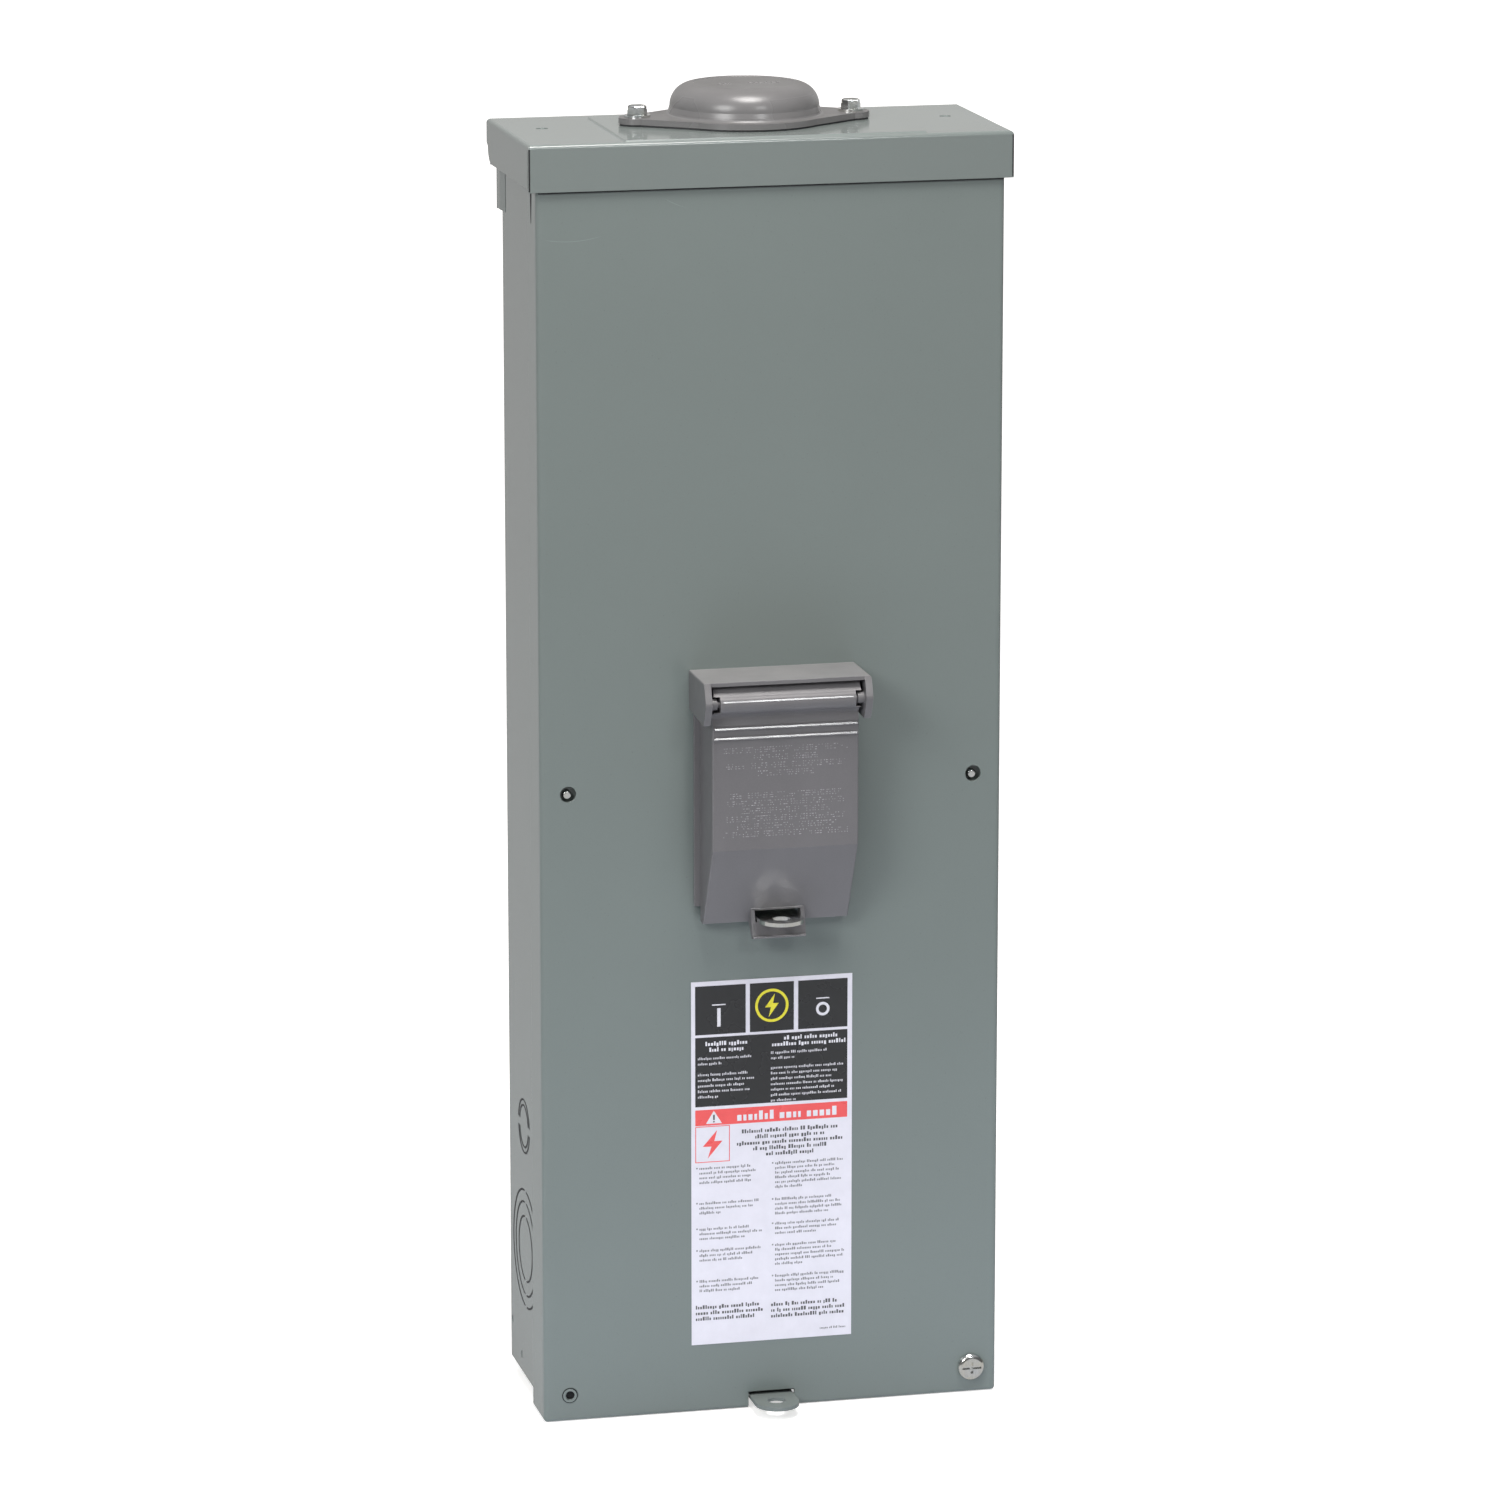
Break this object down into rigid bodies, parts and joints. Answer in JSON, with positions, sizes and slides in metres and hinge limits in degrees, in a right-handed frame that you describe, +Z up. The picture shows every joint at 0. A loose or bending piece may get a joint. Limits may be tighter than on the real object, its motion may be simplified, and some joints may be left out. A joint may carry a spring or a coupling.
{
  "type": "residential load center",
  "caption": "Rainproof wall-mounted load center: tilt-out steel cover, lockable flap over a side-throw main breaker, rain hood with closed hub opening, inner lugs and neutral and ground bars.",
  "frame": {"origin": "on the wall plane, at the centre of the four wall-mounting holes", "axes": "+Z up, +X to the right seen from the front, the cover faces -Y and the wall is the plane y = 0"},
  "size_m": [0.249, 0.1447, 0.6842],
  "materials": {
    "painted_shell": "baked grey polyester enamel, fine orange peel",
    "painted_cover": "baked grey-green polyester enamel, fine orange peel",
    "painted_hub": "grey enamel on a drawn steel closing plate",
    "flap_plastic": "moulded grey engineering plastic, satin",
    "zinc_steel": "bright zinc-plated steel",
    "galvanised": "galvanised sheet steel",
    "case_plastic": "black thermoset moulding",
    "handle_plastic": "black moulded nylon",
    "insulator_plastic": "off-white moulded insulator",
    "lug_aluminium": "tin-plated aluminium",
    "copper": "copper bus, lightly tarnished",
    "silver_contact": "silver-alloy contact facing",
    "chute_fibre": "steel arc plates in grey fibre side walls",
    "foam": "closed-cell foam gasket",
    "label_film": "printed adhesive film"
  },
  "bodies": {
    "enclosure": {"box_shell": "painted_shell", "bottom_endwall": "painted_shell", "seal_tongue": "painted_shell", "rain_hood": "painted_shell", "hub_gasket": "foam", "hub_closing_plate": "painted_hub", "hub_plate_screws": "zinc_steel", "cover_locating_studs": "zinc_steel", "breaker_mounting_pan": "galvanised", "pan_screws": "zinc_steel", "breaker_base": "case_plastic", "breaker_case_cover": "case_plastic", "breaker_case_screws": "zinc_steel", "breaker_mounting_screws": "zinc_steel", "handle_pin": "zinc_steel", "fixed_contacts": "silver_contact", "line_terminals": "copper", "load_terminals": "copper", "trip_units": "chute_fibre", "arc_chutes": "chute_fibre", "line_lugs": "lug_aluminium", "load_lugs": "lug_aluminium", "lug_screws": "zinc_steel", "neutral_insulator": "insulator_plastic", "neutral_bar": "lug_aluminium", "neutral_lugs": "lug_aluminium", "neutral_lug_screws": "zinc_steel", "neutral_screws": "zinc_steel", "bonding_strap": "copper", "bonding_screws": "zinc_steel", "ground_bar": "lug_aluminium", "ground_screws": "zinc_steel", "ground_bar_screws": "zinc_steel"},
    "cover": {"front_cover": "painted_cover", "cover_label": "label_film", "cover_screw": "zinc_steel", "screw_retainer": "zinc_steel", "opening_gasket": "foam", "flap_housing": "flap_plastic", "housing_rivets": "zinc_steel", "padlock_tongue": "zinc_steel"},
    "flap": {"flap": "flap_plastic"},
    "handle": {"breaker_handle": "handle_plastic"},
    "contact_carrier": {"crossbar": "case_plastic", "contact_arms": "copper", "moving_contacts": "silver_contact"}
  },
  "joints": [
    {"name": "cover_tilt", "type": "hinge", "parent": "enclosure", "child": "cover", "pos_m": [0, -0.1061, 0.3082], "axis": [-1, 0, 0], "range_deg": [0, 8]},
    {"name": "flap_hinge", "type": "hinge", "parent": "cover", "child": "flap", "pos_m": [0, -0.138, 0.0515], "axis": [-1, 0, 0], "range_deg": [0, 110]},
    {"name": "handle_throw", "type": "hinge", "parent": "enclosure", "child": "handle", "pos_m": [0, -0.076, 0], "axis": [0, 0, 1], "range_deg": [0, 28]},
    {"name": "contact_swing", "type": "hinge", "parent": "enclosure", "child": "contact_carrier", "pos_m": [0, -0.045, -0.012], "axis": [1, 0, 0], "range_deg": [0, 22]}
  ],
  "couplings": [
    {"joint": "contact_swing", "follows": "handle_throw", "ratio": 0.78}
  ]
}
